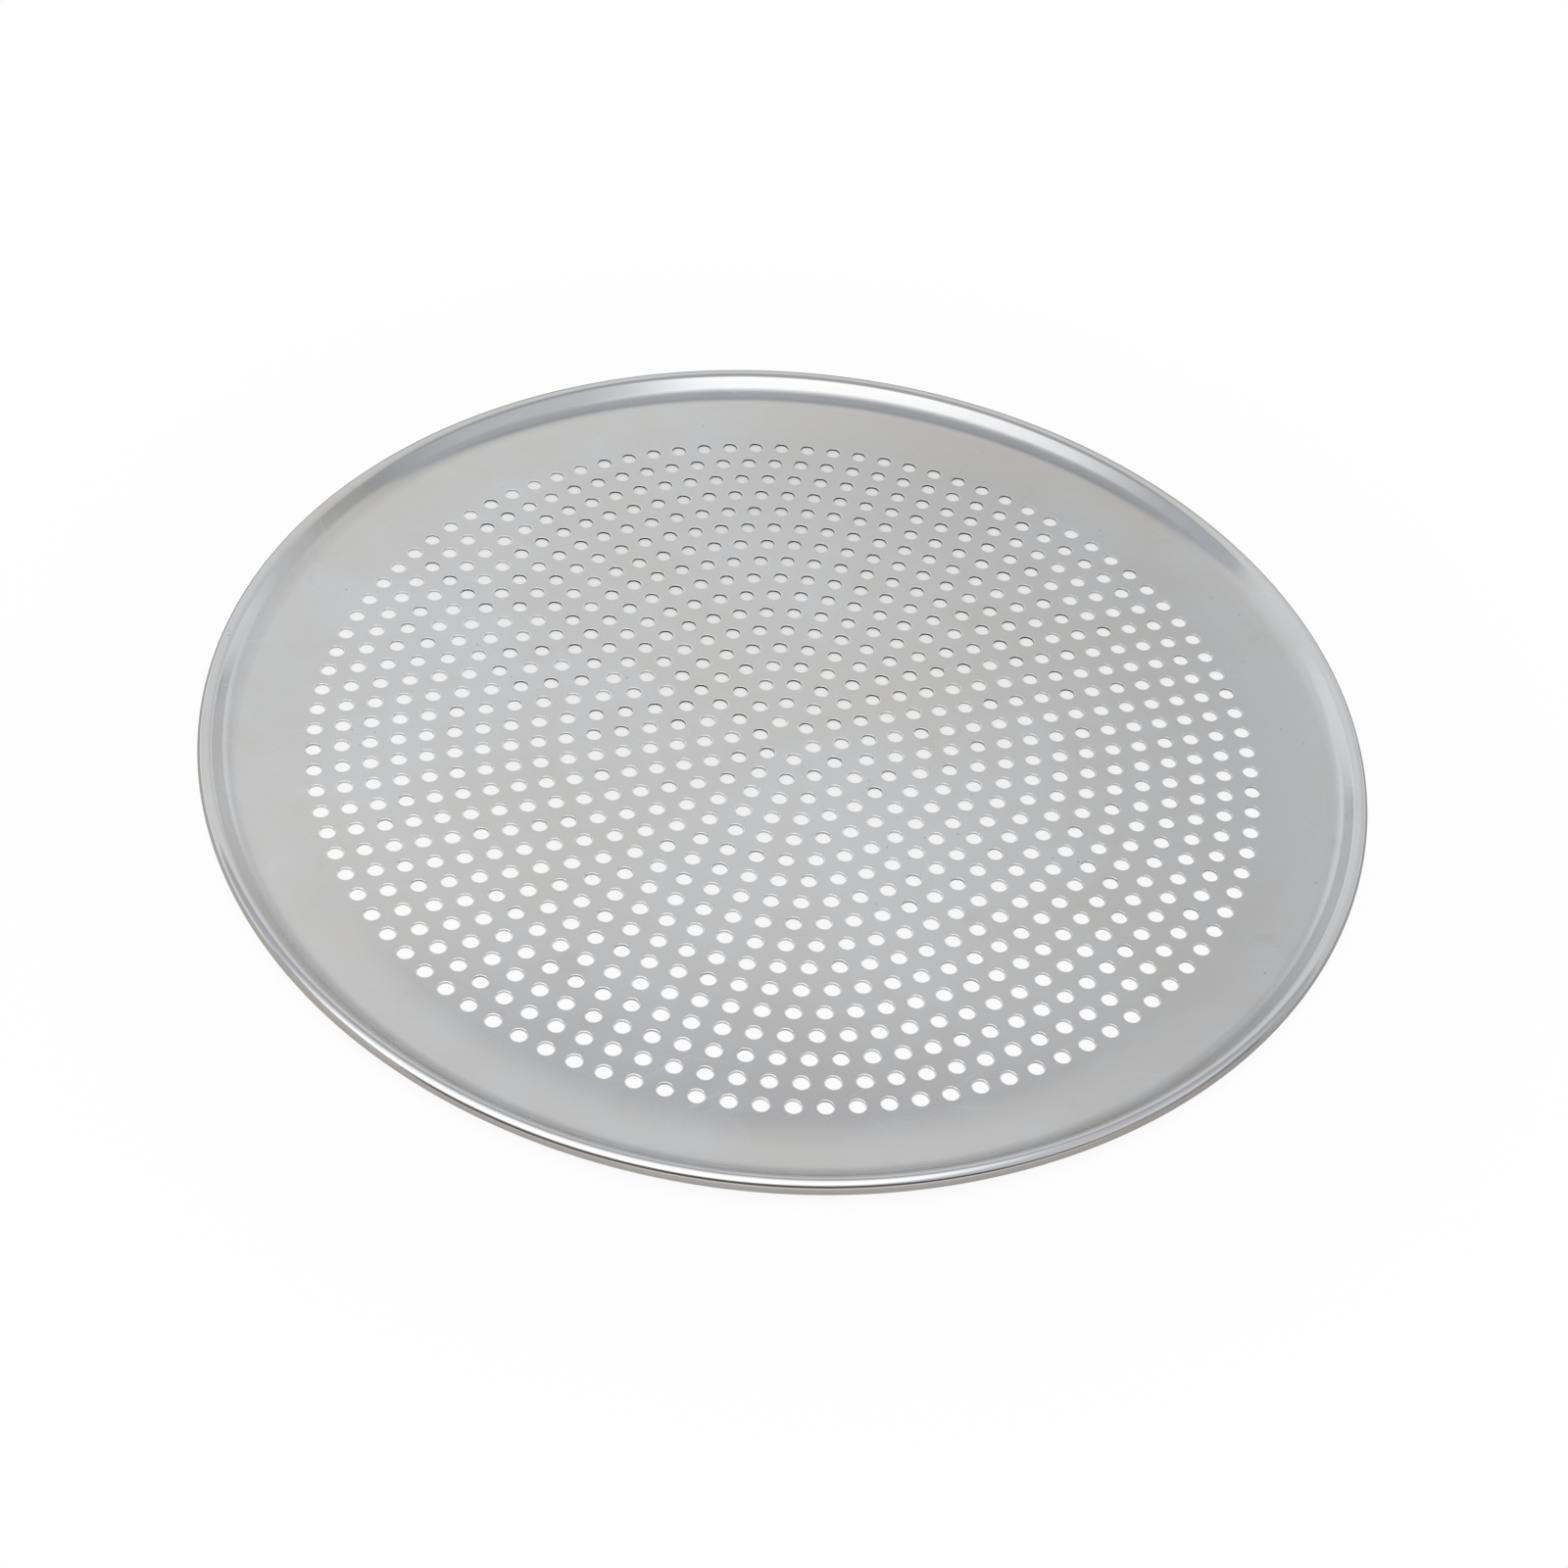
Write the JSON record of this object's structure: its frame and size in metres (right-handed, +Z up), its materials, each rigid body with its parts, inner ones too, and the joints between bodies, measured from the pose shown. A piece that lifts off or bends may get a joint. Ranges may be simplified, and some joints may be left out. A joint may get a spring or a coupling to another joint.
{
  "type": "pizza pan",
  "caption": "Round perforated pizza pan: flat vented floor, gently swept margin, low steep side and a bead rolled over a wire ring.",
  "frame": {"origin": "centre of the floor's underside, in the plane that the pan stands on", "axes": "+Z up along the pan's axis; +X along one of the six clear rays between the vent holes"},
  "size_m": [0.4199, 0.42, 0.0112],
  "materials": {
    "aluminium_sheet": "satin rolled sheet, burnished brighter on the side and the bead",
    "steel_wire": "drawn wire, zinc coated"
  },
  "bodies": {
    "root": {"pan_sheet": "aluminium_sheet", "rim_wire": "steel_wire"}
  },
  "joints": []
}
